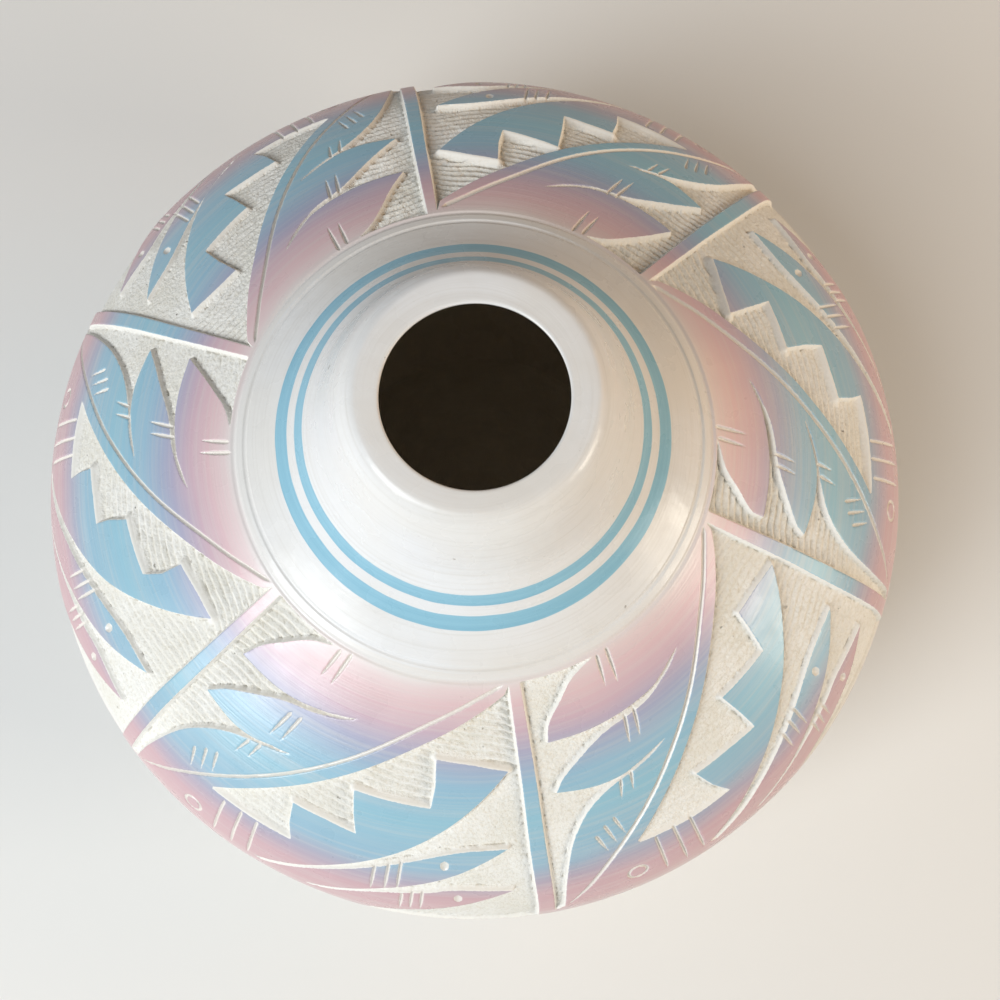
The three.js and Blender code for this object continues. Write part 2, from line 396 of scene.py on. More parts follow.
def white_slip():
    """Plain white slip all over."""
    made, tree, shader, position = material_base("white_slip")
    burnish(tree, shader, position, slip_colour(tree, position))
    return made


def wall_section(line, low, high, length):
    """The section of a course: up the outer face of a wall, and down its inner face."""
    rows = max(4, round(length / course_row))
    outer, outs = line(np.linspace(low, high, rows))
    inner, inner_outs = line(np.linspace(high, low, max(3, rows // 3)))
    points = np.vstack([outer, inner - inner_outs * wall])
    return points, np.vstack([outs, inner_outs * 0]), [0] * len(outer) + [1] * len(inner)


slab_edge = (slab_radius, slab_top, foot_heading)
belly = (belly_radius, belly_height, 90)
bowl_line = outline(slab_edge, belly, 0.35, 0.4)
bowl_length = 85 * mm
slip = white_slip()
for name, node, low, high in (
    ("bowl_wall", "lower_bowl", 0, bowl_seam),
    ("belly_course_low", "lower_belly", bowl_seam, belly_seam),
    ("belly_course_high", "upper_belly", belly_seam, 1),
):
    points, outs, inside = wall_section(bowl_line, low, high, bowl_length * (high - low))
    if low == 0:
        # The first course sits flat on the slab, so its lower edge is level.
        seat = (slab_radius - wall / math.sin(math.radians(foot_heading)), slab_top)
        points, outs, inside = np.vstack([points, seat]), np.vstack([outs, (0, 0)]), inside + [1]
    dress(turned_member(name, points, outs, inside, slip), node)


# Shoulder: the wall that closes over the belly, made as six sixths that meet in the middle of the
# raised bars. The band is sprayed with pink, lilac and pale blue slip, and the ground between its
# figures is carved away and combed while the clay is leather hard, down to the matt ivory body.

seat_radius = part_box("neck")[1].y
seat_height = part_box("shoulder")[1].z
shoulder_heading = 153
# The bars stand at these angles, clockwise from +X.
bar_angles = [19, 81, 142, 202, 260, 316]
# Levels are in mm from the widest line, up along the shoulder. The grid of a sixth is coarser near
# that line, where it hardly shows.
across_steps = 324
up_steps = 288
low_up_steps = 48
low_rows_to = 20
inner_up_steps = 8
band_top = 87.3
ring_groove = 88.3
paint_top = 92
# How broad the walls of the carving are in mm, and where the deepest line of each comb stroke lies.
steep_wall = 0.7
leaf_wall = 0.95
comb_heel = 0.74
groove_half = 0.75 * mm
groove_depth = 0.3 * mm

neck_seat = (seat_radius, seat_height, shoulder_heading)
shoulder_line = outline(belly, neck_seat, 0.28, 0.35)
fine_points, fine_outs = shoulder_line(np.linspace(0, 1, 2001))
fine_lengths = np.linalg.norm(np.diff(fine_points, axis=0), axis=1)
fine_levels = np.concatenate([[0], np.cumsum(fine_lengths)]) / mm
shoulder_rise = fine_levels[-1]


def flowing(*points, steps=5):
    """A smooth line through a few drawn points, by the Catmull-Rom rule."""
    p = np.array(points, float)
    p = np.vstack([2 * p[0] - p[1], p, 2 * p[-1] - p[-2]])
    t = np.linspace(0, 1, steps, endpoint=False)[:, None]
    spans = [
        b + (c - a) * t / 2 + (a - 2.5 * b + 2 * c - d / 2) * t * t
        + (1.5 * b - a / 2 - 1.5 * c + d / 2) * t**3
        for a, b, c, d in zip(p, p[1:], p[2:], p[3:])
    ]
    return np.vstack(spans + [p[-2:-1]])


def moved(line, across=0.0, up=0.0, share=1.0):
    """A drawn line set a little aside, all of it or each point by its own share."""
    line = np.array(line, float)
    return line + np.outer(np.ones(len(line)) * share, (across, up))


def moved_above(level, line, across=0.0, up=0.0):
    """A drawn line set aside only above a level, and wholly from twice that level on."""
    return moved(line, across, up, np.clip(line[:, 1] / level - 1, 0, 1))


# The figures of one sixth are drawn on a sheet: across in sixtieths of the way to the next bar, and
# up in millimetres along the shoulder from its widest line. No two sixths are drawn quite alike.
def drawn_by(
    lift=0.0, spine_up=0.0, spine_width=0.55, blade=0.0, steps=(0.0, 0.0), tip=(0.0, 0.0), bevel=2.4,
    teeth=((0, 0), (0, 0), (0, 0)), fish=0.0, swell=0.0, leaf_up=0.0, roots=(0.0, 0.0),
    top_ticks=0.0, leaf_ticks=(0.0, 0.0),
):
    """The grounds and the cut lines of a sixth, as the hand drew them. Each value moves or widens one
    thing: lift the whole; spine_up and spine_width the spine; blade, steps, tip, bevel and teeth the
    stepped blade; fish the two fish; swell, leaf_up and roots the leaves; and the rest their ticks."""

    def lifted(line):
        line = np.array(line, float)
        line[:, 1] += lift * np.clip((80 - line[:, 1]) / 30, 0, 1) * np.clip(line[:, 1] / 8, 0, 1)
        return line

    spine = flowing((2.2, 87.2), (10, 82.3), (20, 73.7), (30, 61), (40, 46), (50, 28.4), (57.6, 10))
    spine = lifted(moved_above(30, spine, up=spine_up))
    spine_edge = flowing((2.2, 84.5), (10, 78), (20, 68.6), (30, 56), (40, 41.3), (46.6, 30))
    spine_edge = moved_above(30, spine_edge, up=spine_up)
    blade_steps = np.array([
        (46.6, 29.3), (40, 29.3), (34.1, 29.4), (35.3, 35), (36.1, 41.6), (31, 41.3), (26.2, 40.3),
        (26.8, 47), (27.2, 54.8), (21.5, 53.9), (16.3, 53), (15.8, 60), (16, 68),
    ])
    low_share = np.clip(4 - blade_steps[:, 1] / 15, 0, 1) * np.clip(6 - blade_steps[:, 0] / 8, 0, 1)
    blade_steps = moved(blade_steps, *steps, low_share)
    blade_steps = moved_above(25, blade_steps, blade)
    corners = [2, 4, 6, 8, 10, 12]
    for side in (0, 1):
        shifts = [0, teeth[0][side], 0, teeth[1][side], 0, teeth[2][side]]
        blade_steps[:, side] += np.interp(range(len(blade_steps)), corners, shifts)
    blade_back = flowing((3.8, 63.8), (11.4, 51), (19, 38.8), (28.4, 25.8), (38, 12.5))
    blade_back = moved_above(25, blade_back, blade)
    blade_back = moved(blade_back, *tip, np.clip(blade_back[:, 1] / 25 - 1.55, 0, 1))
    middle = (blade_steps[-1] + blade_back[0]) / 2
    blade_top = flowing(blade_steps[-1], middle + (0, 0.6), blade_back[0])
    first_fish = np.vstack([
        flowing((37, 12), (28.4, 24), (18, 34.8), (11, 39.8), (4.1, 40.7)),
        flowing((4.1, 40.7), (11.5, 31.8), (18.5, 25), (22, 21.7), (31, 11.5)),
    ])
    second_fish = np.vstack([
        flowing((30, 11.3), (22, 20), (15, 24), (11, 26), (3.9, 25.3)),
        flowing((3.9, 25.3), (11.5, 18.3), (18.5, 12.5), (22, 9)),
    ])
    bar_foot = flowing((1.0, 4), (0.8, 18), (1.0, 40), (0.9, 60), (0.95, band_top))
    first_root = np.array((28.5 + roots[0], 73.2 - 0.45 * roots[0]))
    second_root = np.array((38.5 + roots[1], 54.5 - 0.4 * roots[1]))
    low_tip, high_tip = (55.8, 53 + leaf_up), (55.4, 68.3 + leaf_up)
    leaf_edges = [
        [(57.6, 10), (56.7, 25), (54 + swell / 4, 39), (48.5 + swell / 2, 48.5), second_root],
        [second_root, (43.2 + roots[1] / 2, 52.5), (49, 51.6 + leaf_up / 2), low_tip],
        [low_tip, (51.5 + swell, 58.8), (44 + swell, 66), (36 + roots[0] / 2, 68.6), first_root],
        [first_root, (35 + roots[0] / 2, 70.2 + leaf_up / 2), (45, 68.4 + leaf_up), high_tip],
        [high_tip, (52.6 + swell, 74.2), (49.3 + swell, 79.6), (45.5 + swell, 84.3),
         (40.4 + swell / 2, 87.2)],
    ]
    grounds = [
        [
            (bar_foot, steep_wall),
            (spine_edge, steep_wall),
            (blade_steps, bevel),
            (blade_top, bevel),
            (blade_back, steep_wall),
            (moved_above(10, first_fish, up=fish), leaf_wall),
            (moved_above(10, second_fish, up=fish), leaf_wall),
            ([(24, 4)], steep_wall),
        ],
        [
            (flowing((58.5, band_top), (58.6, 60), (58.8, 40), (58.8, 20), (58.9, 8)), steep_wall),
            *((flowing(*leaf_edge), leaf_wall) for leaf_edge in leaf_edges),
        ],
    ]
    turn = np.linspace(0, 2 * math.pi, 25)
    ring = np.stack([47.8 + 1.25 * np.cos(turn), 17.3 + 2.6 * np.sin(turn)], axis=1)
    eyes = [((12.9, 36.7), (12.9, 33.4)), ((11, 24), (11, 20.8))]
    ticks = [moved(tick, top_ticks) for tick in (((37.2, 87.5), (38.4, 77.5)), ((39.8, 87), (41, 78)))]
    ticks += [moved(tick, *leaf_ticks) for tick in (((39.6, 69), (40.9, 60)), ((41.6, 68.6), (43, 59.5)))]
    ticks += [
        ((43.8, 52), (44.6, 46)), ((45.7, 51), (46.7, 45)),
        ((48.7, 41), (47.7, 34)), ((50.3, 39.5), (49.2, 32)), ((51.8, 37), (50.6, 30)),
        ((18.8, 36), (18.9, 23)), ((20.4, 34.5), (20.5, 22)), ((22.2, 32.5), (22.3, 21)),
        ((15.6, 24.5), (15.7, 15)), ((16.9, 24), (17, 14)), ((18.2, 22.5), (18.3, 13.5)),
        ((39, 29), (38.8, 11)), ((41.5, 29), (41.3, 11)), ((44.2, 28.5), (44, 11)),
    ]
    first_gap = (44.5, 67.3 + leaf_up / 2), (35.5 + roots[0] / 2, 69.4 + leaf_up / 4)
    second_gap = (47.5, 50.4), (41.4 + roots[1] / 2, 53)
    tails = [
        flowing(*first_gap, first_root, first_root + (-1.9, 1.2)),
        flowing(*second_gap, second_root, second_root + (-1.8, 1)),
    ]
    eyes = [lifted(moved(eye, 0, fish)) for eye in eyes]
    grounds = [[(lifted(line), breadth) for line, breadth in ground] for ground in grounds]
    tails, ticks = ([lifted(line) for line in lines] for lines in (tails, ticks))
    return grounds, (spine, spine_width), eyes, lifted(ring), tails, ticks


class Sheet:
    """One sixth of the shoulder laid flat: where each point of its grid lies and how it is carved.
    The marks ground and cut say how far inside a ground or a cut line a point lies in mm, floor how
    far down the wall of a ground it is from 0 to 1, and gouge how deep a cut line is there in mm."""

    def __init__(self, first_bar, next_bar):
        self.first_bar = first_bar
        self.span = next_bar - first_bar
        self.columns = np.linspace(0, 60, across_steps + 1)
        low_rows = np.linspace(0, low_rows_to, low_up_steps + 1)
        high_rows = np.linspace(low_rows_to, shoulder_rise, up_steps - low_up_steps + 1)
        self.rows = np.concatenate([low_rows, high_rows[1:]])
        self.across, self.up = np.meshgrid(self.columns, self.rows)
        self.measure()

    def measure(self):
        """The length in mm of a sixtieth of the sheet at the level of each point."""
        radius = np.interp(self.up, fine_levels, fine_points[:, 0]) / mm
        self.sixtieth = radius * math.radians(self.span) / 60

    def near(self, start, end, reach):
        """The part of the grid that lies within a reach of a short line."""
        low, high = np.minimum(start, end), np.maximum(start, end)
        row_from, row_to = np.searchsorted(self.rows, [low[1] - reach - 0.5, high[1] + reach + 0.5])
        rim = (reach + 0.5) / self.sixtieth[min(row_to, up_steps), 0]
        column_from, column_to = np.searchsorted(self.columns, [low[0] - rim, high[0] + rim])
        return slice(row_from, row_to), slice(column_from, column_to)

    def pieces(self, line, reach):
        """Each straight piece of a line by its number, with the points near it: their distance, how
        far along the piece their nearest point is and the way from there, all in mm, and the share
        of its length that the piece runs across the sheet."""
        for number, (start, end) in enumerate(zip(np.array(line)[:-1], np.array(line)[1:])):
            area = self.near(start, end, reach)
            scale = self.sixtieth[area]
            if not scale.size:
                continue
            from_start = (self.across[area] - start[0]) * scale, self.up[area] - start[1]
            way = (end[0] - start[0]) * scale, np.full(scale.shape, end[1] - start[1])
            length = np.maximum(np.hypot(*way), 1e-6)
            share = np.clip((from_start[0] * way[0] + from_start[1] * way[1]) / length**2, 0, 1)
            off = from_start[0] - way[0] * share, from_start[1] - way[1] * share
            yield number, area, np.hypot(*off), share * length, off, way[0] / length

    def enclosed(self, shape):
        """Whether each point lies inside a closed shape."""
        inside = np.zeros(self.across.shape, bool)
        for (x0, y0), (x1, y1) in zip(shape, np.roll(shape, -1, axis=0)):
            if y0 == y1:
                continue
            crossing = (y0 > self.up) != (y1 > self.up)
            inside ^= crossing & (self.across < (x1 - x0) * (self.up - y0) / (y1 - y0) + x0)
        return inside

    def carve_ground(self, parts, reach=4.0):
        """Marks a carved ground inside lines that each have a wall of their own breadth. It is as
        broad as that where it looks up to the neck, and steep elsewhere. Gives back how far each
        point is from the edge, and the way from there."""
        shape = np.vstack([line for line, _ in parts])
        walls = np.concatenate([np.full(len(line), broad) for line, broad in parts])
        inside = self.enclosed(shape)
        distance = np.full(self.across.shape, reach)
        floor = np.ones(self.across.shape)
        lean = [np.zeros(self.across.shape), np.zeros(self.across.shape)]
        area_sign = np.sum(shape[:, 0] * np.roll(shape[:, 1], -1) - np.roll(shape[:, 0], -1) * shape[:, 1])
        for number, area, away, _, off, onward in self.pieces(np.vstack([shape, shape[:1]]), reach):
            facing = np.clip(onward * np.sign(area_sign), 0, 1)
            breadth = steep_wall + (walls[number] - steep_wall) * facing**2
            floor[area] = np.minimum(floor[area], away / breadth)
            closer = away < distance[area]
            distance[area] = np.where(closer, away, distance[area])
            for part, value in zip(lean, off):
                part[area] = np.where(closer, value, part[area])
        sign = np.where(inside, 1, -1)
        nearer = sign * distance > self.ground
        self.ground = np.where(nearer, sign * distance, self.ground)
        self.floor = np.where(inside, np.minimum(floor, 1), self.floor)
        return distance, lean

    def cut_line(self, line, half_width, depth, lead_in, lead_out):
        """Marks an incised line, which tapers in and out over the two leads."""
        steps = np.diff(np.array(line), axis=0)
        middle = np.interp(np.mean(np.array(line)[:, 1]), self.rows, self.sixtieth[:, 0])
        passed = np.concatenate([[0], np.cumsum(np.hypot(steps[:, 0] * middle, steps[:, 1]))])
        whole = passed[-1]
        for number, area, away, along, _, _ in self.pieces(line, 2.0):
            place = passed[number] + along
            taper = np.clip(np.minimum(place / lead_in, (whole - place) / lead_out), 0, 1) ** 0.6
            width = np.maximum(half_width * taper, 0.01)
            self.cut[area] = np.maximum(self.cut[area], width - away)
            dug = depth * taper * np.clip(1 - (away / width) ** 2, 0, 1)
            self.gouge[area] = np.maximum(self.gouge[area], dug)

    def carve(self, drawn):
        """Carves the whole sixth, as it is drawn."""
        shape = self.across.shape
        self.ground, self.floor = np.full(shape, -4.0), np.zeros(shape)
        self.cut, self.gouge = np.full(shape, -4.0), np.zeros(shape)
        grounds, (spine, spine_width), eyes, ring, tails, ticks = drawn
        edges = [self.carve_ground(ground) for ground in grounds]
        self.cut_line(spine, spine_width, depth=0.65, lead_in=2, lead_out=10)
        for eye in eyes:
            self.cut_line(eye, 1.15, depth=0.5, lead_in=0.9, lead_out=0.9)
        self.cut_line(ring, 0.5, depth=0.5, lead_in=0.1, lead_out=0.1)
        for tail in tails:
            self.cut_line(tail, 0.5, depth=0.6, lead_in=6, lead_out=5)
        for tick in ticks:
            self.cut_line(tick, 0.52, depth=0.62, lead_in=0.8, lead_out=5)
        self.spine = spine
        return edges

    def comb(self, before_blade, behind_blade, before_bar):
        """Lays out the comb: the line that each point lies on, and how hard the comb is pressed.
        Its lines droop at the bars, climb to the spine and fall away behind the blade, and it is
        pressed harder towards the neck."""
        aside = self.across * self.sixtieth
        from_bar = np.minimum(self.across, 60 - self.across) * self.sixtieth
        droop_height, droop_reach = 2.4, 9
        droop = droop_height * np.clip(1 - from_bar / droop_reach, 0, 1) ** 2
        past_spine = self.across > np.interp(self.up, self.spine[::-1, 1], self.spine[::-1, 0])
        blade_back = 3.8 + (63.8 - self.up) * 0.667
        behind = np.clip((blade_back + 3 - self.across) / 3, 0, 1) * np.clip((66 - self.up) / 4, 0, 1)
        slope = np.where(past_spine, 0, 0.18 * behind - 0.1 * (1 - behind))
        self.comb_line = self.up + droop + slope * aside
        force = np.interp(self.up, [20, 35, 50, 62], [0.2, 0.45, 0.85, 1.0])
        left = before_blade + (behind_blade - before_blade) * behind
        self.comb_force = np.where(past_spine, before_bar, left) * force

    def snap(self, edges):
        """Moves the points next to the edge of a ground onto it, which keeps the arris crisp."""
        cell = min(self.rows[-1] - self.rows[-2], self.columns[1] * self.sixtieth[0, 0])
        for distance, lean in edges:
            close = distance < cell * 0.55
            close[0] = close[-1] = False
            close[:, 0] = close[:, -1] = False
            self.across = np.where(close, self.across - lean[0] / self.sixtieth, self.across)
            self.up = np.where(close, self.up - lean[1], self.up)
        self.measure()


def carving_tree():
    """Nodes that sink the carved ground and the cut lines of a sixth, and comb the ground."""
    tree, given = empty_tree("carve the sixth", "Sixth", {"Float": [
        "Ground Depth", "Cut Depth", "Comb Pitch", "Comb Depth", "Comb Wander", "Nick Depth",
        "Ground Unevenness", "Ridge Pitch", "Ridge Height", "Hand Wobble", "Seed", "Carving Seed",
    ]})
    spot = put(tree, "GeometryNodeInputPosition").outputs[0]

    def shaken(size, detail, amount, offset=0.0):
        seed = reckon(tree, "ADD", given["Carving Seed"], offset)
        return times(tree, shake(tree, spot, size, detail, seed), amount)

    floor = ramp(tree, named(tree, "floor"), 0, 1)
    line = reckon(tree, "ADD", named(tree, "comb_line"), shaken(9 * mm, 2.0, given["Comb Wander"]))
    tremble = times(tree, given["Comb Wander"], 0.2)
    line = reckon(tree, "ADD", line, shaken(3 * mm, 1.0, tremble))
    turns = reckon(tree, "DIVIDE", line, given["Comb Pitch"])
    share = reckon(tree, "FRACT", turns)
    fall = reckon(tree, "DIVIDE", share, comb_heel)
    rise = reckon(tree, "DIVIDE", reckon(tree, "SUBTRACT", 1, share), 1 - comb_heel)
    gap = ramp(tree, reckon(tree, "MINIMUM", fall, rise), 0, 1)
    reach = ramp(tree, named(tree, "floor"), 0.55, 0.95)
    uneven = reckon(tree, "ADD", 0.9, shaken(3.5 * mm, 2.0, 2.0, 5.0))
    force = times(tree, times(tree, reach, uneven), named(tree, "comb_force"))
    combed = times(tree, gap, times(tree, force, given["Comb Depth"]))
    edge_side = ramp(tree, named(tree, "ground"), 0.45, 0.8)
    far_side = ramp(tree, named(tree, "ground"), 0.9, 1.5, 1, 0)
    foot = times(tree, edge_side, far_side)
    foot = times(tree, foot, ramp(tree, named(tree, "floor"), 0.7, 0.95))
    nick = times(tree, foot, ramp(tree, shaken(1.6 * mm, 1.0, 1.0, 9.0), 0.02, 0.12))
    combed = reckon(tree, "ADD", combed, times(tree, nick, given["Nick Depth"]))
    lumps = times(tree, shaken(2.2 * mm, 3.0, given["Ground Unevenness"]), floor)
    sunk = times(tree, floor, given["Ground Depth"])
    dug = times(tree, named(tree, "gouge"), given["Cut Depth"])
    from_ring = reckon(tree, "SUBTRACT", named(tree, "level"), ring_groove)
    from_ring = reckon(tree, "DIVIDE", from_ring, groove_half / mm)
    ring = reckon(tree, "SUBTRACT", 1, times(tree, from_ring, from_ring))
    ring = times(tree, reckon(tree, "MAXIMUM", ring, 0), groove_depth)
    dug = reckon(tree, "MAXIMUM", dug, ring)
    depth = reckon(tree, "MAXIMUM", dug, reckon(tree, "ADD", sunk, combed))
    depth = reckon(tree, "ADD", depth, lumps)
    marked = given["Sixth"]
    for name, value in (("comb_turns", turns), ("comb_reach", force), ("nick", nick)):
        marked = stored(tree, marked, name, value)
    height = reckon(tree, "SUBTRACT", wheel_height(tree, spot, given), depth)
    carved = shifted(tree, marked, named(tree, "out", "FLOAT_VECTOR"), height)
    end_tree(tree, carved, given["Material"])
    return tree


def painted_slip():
    """Sprayed bands of coloured slip, with bare combed clay wherever the skin has been carved away."""
    made, tree, shader, position = material_base("painted_slip")

    def mark(name):
        return put(tree, "ShaderNodeAttribute", attribute_name=name).outputs["Fac"]

    drift = times(tree, shake(tree, position, 25 * mm, 2.0, 7.0), 5.0)
    level = reckon(tree, "ADD", mark("level"), drift)
    bands = put(tree, "ShaderNodeValToRGB", {0: reckon(tree, "DIVIDE", level, paint_top)})
    stops = [
        (0, "#E2DFDA"), (4, "#DDCFCD"), (12, "#CDA9AB"), (22, "#C6A3A9"), (28, "#ACA6B6"),
        (34, "#97B8CA"), (48, "#94BFCF"), (59, "#95B9CD"), (67.5, "#A7A9C0"), (75, "#CBAFB9"),
        (81, "#DABBBE"), (86, "#E0CDCC"), (89, "#E1DEDA"),
    ]
    while len(bands.color_ramp.elements) < len(stops):
        bands.color_ramp.elements.new(0.5)
    for element, (height, code) in zip(bands.color_ramp.elements, stops):
        element.position = height / paint_top
        element.color = colour(code)
    lines = ramp(tree, turning_lines(tree, position, 1.1 * mm, 9.0), 0.4, 0.75)
    sprayed = blend(tree, times(tree, lines, 0.3), bands.outputs[0], colour("#D5D1CC"))
    sprayed = inner_shade(tree, sprayed)

    frayed = times(tree, shake(tree, position, 0.8 * mm, 2.0, 8.0), 0.35)
    bare = ramp(tree, reckon(tree, "ADD", mark("ground"), frayed), -0.05, 0.07)
    cut = ramp(tree, reckon(tree, "ADD", mark("cut"), frayed), -0.05, 0.12)
    # The deepest line of each comb stroke is painted a darker tan: painted shade in the comb grooves.
    off_heel = reckon(tree, "SUBTRACT", reckon(tree, "FRACT", mark("comb_turns")), comb_heel)
    gap = ramp(tree, reckon(tree, "ABSOLUTE", off_heel), 0, 0.3, 1, 0)
    gap = times(tree, gap, reckon(tree, "MINIMUM", mark("comb_reach"), 1))
    clay = blend(tree, ramp(tree, mark("floor"), 0.6, 1.0), colour("#EBE8E1"), clay_colour(tree, position))
    grain = ramp(tree, noise(tree, position, 0.9 * mm, 3.0, 0.6, seed=17.0), 0.45, 0.7, 0, 0.35)
    clay = blend(tree, times(tree, grain, mark("floor")), clay, colour("#C9BFA8"))
    clay = blend(tree, times(tree, gap, 0.35), clay, colour("#BDB197"))
    pits = ramp(tree, noise(tree, position, 1.6 * mm, 1.0, seed=16.0), 0.735, 0.775)
    pits = times(tree, pits, ramp(tree, mark("floor"), 0.8, 1.0))
    # Dark specks where the ground is pitted, and painted shade in the nicks at the foot of the walls, in
    # one darker colour.
    pit_specks_and_nick_shade = reckon(tree, "MAXIMUM", pits, ramp(tree, mark("nick"), 0.2, 0.9, 0, 0.7))
    clay = blend(tree, times(tree, pit_specks_and_nick_shade, 0.42), clay, colour("#8F846C"))
    painted = blend(tree, bare, sprayed, clay)
    skin = blend(tree, times(tree, cut, 0.9), painted, colour("#E4DFD6"))
    rubbed = ramp(tree, noise(tree, position, 9 * mm, 3.0, seed=4.0), 0.3, 0.7, 0.24, 0.36)
    matt = reckon(tree, "MAXIMUM", bare, mark("inside"))
    rough = ramp(tree, matt, 0, 1, rubbed, 0.66)
    connect(tree, shader, {"Base Color": skin, "Roughness": rough, "Specular IOR Level": 0.6})

    fine = turning_lines(tree, position, 0.5 * mm, 6.0)
    sand = noise(tree, position, 0.8 * mm, 4.0, 0.6)
    sand = times(tree, sand, ramp(tree, mark("floor"), 0.4, 0.9))
    gap, pits = (reckon(tree, "SUBTRACT", 1, sunk) for sunk in (gap, pits))
    emboss(tree, shader, (fine, 0.07 * mm), (sand, 0.4 * mm), (gap, 0.1 * mm), (pits, 0.4 * mm))
    return made


def sixth_mesh(name, sheet):
    """The closed wall of one sixth: its carved outer face, its inner face and four edges."""

    def turned_to(across):
        angle = np.radians(-(sheet.first_bar + sheet.span * across / 60))
        return np.stack([np.cos(angle), np.sin(angle)], axis=-1)

    def at_levels(levels, values):
        return np.stack([np.interp(levels, fine_levels, values[:, k]) for k in (0, 1)], axis=-1)

    def placed(points, turn):
        return np.concatenate([points[..., :1] * turn, points[..., 1:]], axis=-1)

    inner_levels = sheet.rows[:: up_steps // inner_up_steps]
    inner_rz = at_levels(inner_levels, fine_points - wall * fine_outs)
    inner_grid = np.repeat(inner_rz[:, None], across_steps + 1, axis=1)
    inner_turn = np.repeat(turned_to(sheet.columns)[None], inner_up_steps + 1, axis=0)
    inner = placed(inner_grid, inner_turn)
    outer = placed(at_levels(sheet.up, fine_points), turned_to(sheet.across))
    outer_outs = placed(at_levels(sheet.up, fine_outs), turned_to(sheet.across)).reshape(-1, 3)
    points = np.concatenate([outer.reshape(-1, 3), inner.reshape(-1, 3)])
    skin = np.arange(outer.size // 3).reshape(outer.shape[:2])
    lining = skin.size + np.arange(inner.size // 3).reshape(inner.shape[:2])
    outs = np.concatenate([outer_outs, np.zeros((lining.size, 3))])

    def corners(grid):
        return grid[:-1, :-1].ravel(), grid[:-1, 1:].ravel(), grid[1:, 1:].ravel(), grid[1:, :-1].ravel()

    a, b, c, d = corners(skin)
    edge = np.minimum(np.abs(sheet.ground), np.abs(sheet.cut)).ravel()
    along = (edge[a] + edge[c] <= edge[b] + edge[d])[:, None]
    faces = [
        np.where(along, np.stack([a, d, c], 1), np.stack([a, d, b], 1)),
        np.where(along, np.stack([a, c, b], 1), np.stack([d, c, b], 1)),
    ]
    a, b, c, d = corners(lining)
    faces += [np.stack([a, b, c], 1), np.stack([a, c, d], 1)]
    for outer_row, inner_row, flip in ((skin[0], lining[0], False), (skin[-1], lining[-1], True)):
        a, b, c, d = outer_row[:-1], outer_row[1:], inner_row[1:], inner_row[:-1]
        pair = [np.stack([a, b, c], 1), np.stack([a, c, d], 1)]
        faces += [tri[:, ::-1] for tri in pair] if flip else pair
    inner_of = np.arange(up_steps + 1) * inner_up_steps // up_steps
    for column, flip in ((0, True), (-1, False)):
        side = []
        for row, (low, high) in enumerate(zip(inner_of, inner_of[1:])):
            side.append((skin[row, column], skin[row + 1, column], lining[low, column]))
            if high > low:
                side.append((skin[row + 1, column], lining[high, column], lining[low, column]))
        side = np.array(side)
        faces.append(side[:, ::-1] if flip else side)
    faces = np.concatenate(faces)

    mesh = bpy.data.meshes.new(name)
    mesh.vertices.add(len(points))
    mesh.vertices.foreach_set("co", points.astype(np.float32).ravel())
    mesh.loops.add(faces.size)
    mesh.loops.foreach_set("vertex_index", faces.astype(np.int32).ravel())
    mesh.polygons.add(len(faces))
    mesh.polygons.foreach_set("loop_start", np.arange(0, faces.size, 3, dtype=np.int32))
    mesh.update(calc_edges=True)
    plain = np.zeros(lining.size)
    attribute(mesh, "out", "FLOAT_VECTOR", outs)
    attribute(mesh, "inside", "FLOAT", np.concatenate([np.zeros(skin.size), plain + 1]))
    attribute(mesh, "level", "FLOAT", np.concatenate([sheet.up.ravel(), plain]))
    for name, values in (("ground", sheet.ground), ("cut", sheet.cut)):
        attribute(mesh, name, "FLOAT", np.concatenate([values.ravel(), plain - 4]))
    for name in ("floor", "gouge", "comb_line", "comb_force"):
        attribute(mesh, name, "FLOAT", np.concatenate([getattr(sheet, name).ravel(), plain]))
    return mesh


carve_the_sixth = carving_tree()
paint = painted_slip()
# Each sixth: how deep its ground is in mm; how hard it is combed before the blade, behind it and
# before the next bar; and its drawing.
sixths = [
    (1.1, (0.25, 0.4, 0.1), drawn_by(
        lift=1.6, spine_width=0.68, steps=(-1.6, -1.4), tip=(-1.3, -1), bevel=1.2,
        teeth=((0.9, 0), (-1.1, -0.9), (-2.8, -2)), fish=-2.6, swell=1.8, leaf_up=0.6, roots=(-1, 0),
        top_ticks=0.7, leaf_ticks=(-0.8, 0),
    )),
    (1.25, (0.75, 0.1, 0.7), drawn_by(
        lift=-0.4, blade=-0.8, bevel=1.8, teeth=((0, 0), (1.3, -1.6), (0.2, -1)), swell=1.2,
        roots=(4.2, 2.3), leaf_ticks=(0.6, -3.5),
    )),
    (1.15, (0.7, 0.35, 0.25), drawn_by(
        blade=0.4, steps=(1.4, -0.8), tip=(0, 2.9), teeth=((-1.4, -2.8), (-1.2, -3.3), (-0.6, -2.5)),
        fish=-1.5, roots=(2.4, 0), top_ticks=-2.6,
    )),
    (1.1, (0.3, 0.1, 0.9), drawn_by(
        lift=-1.2, blade=-0.4, steps=(-0.3, -1.3), tip=(0.8, -1.5), bevel=1.1,
        teeth=((0, 0), (-0.2, -3), (0, -1.2)), fish=2.5, swell=-1, roots=(-1.5, 0), top_ticks=-3,
    )),
    (1.6, (1.4, 1.3, 0.9), drawn_by(
        lift=-1.8, spine_up=-1.8, spine_width=0.75, blade=-0.6, tip=(0.4, -2),
        teeth=((-1, 0), (0, 2), (0, -1.7)), fish=-1.3, leaf_up=-0.6, roots=(0, 3.3),
    )),
    (1.3, (0.5, 0.35, 0.7), drawn_by(
        lift=2, spine_width=0.7, steps=(-1.6, 0), tip=(0.8, -2),
        teeth=((-1.5, -1.5), (-2.5, 0), (-0.7, 1.3)), fish=-1.2, swell=2.4, leaf_up=1.4, roots=(2, 0),
        top_ticks=1.8, leaf_ticks=(3.4, 0.5),
    )),
]
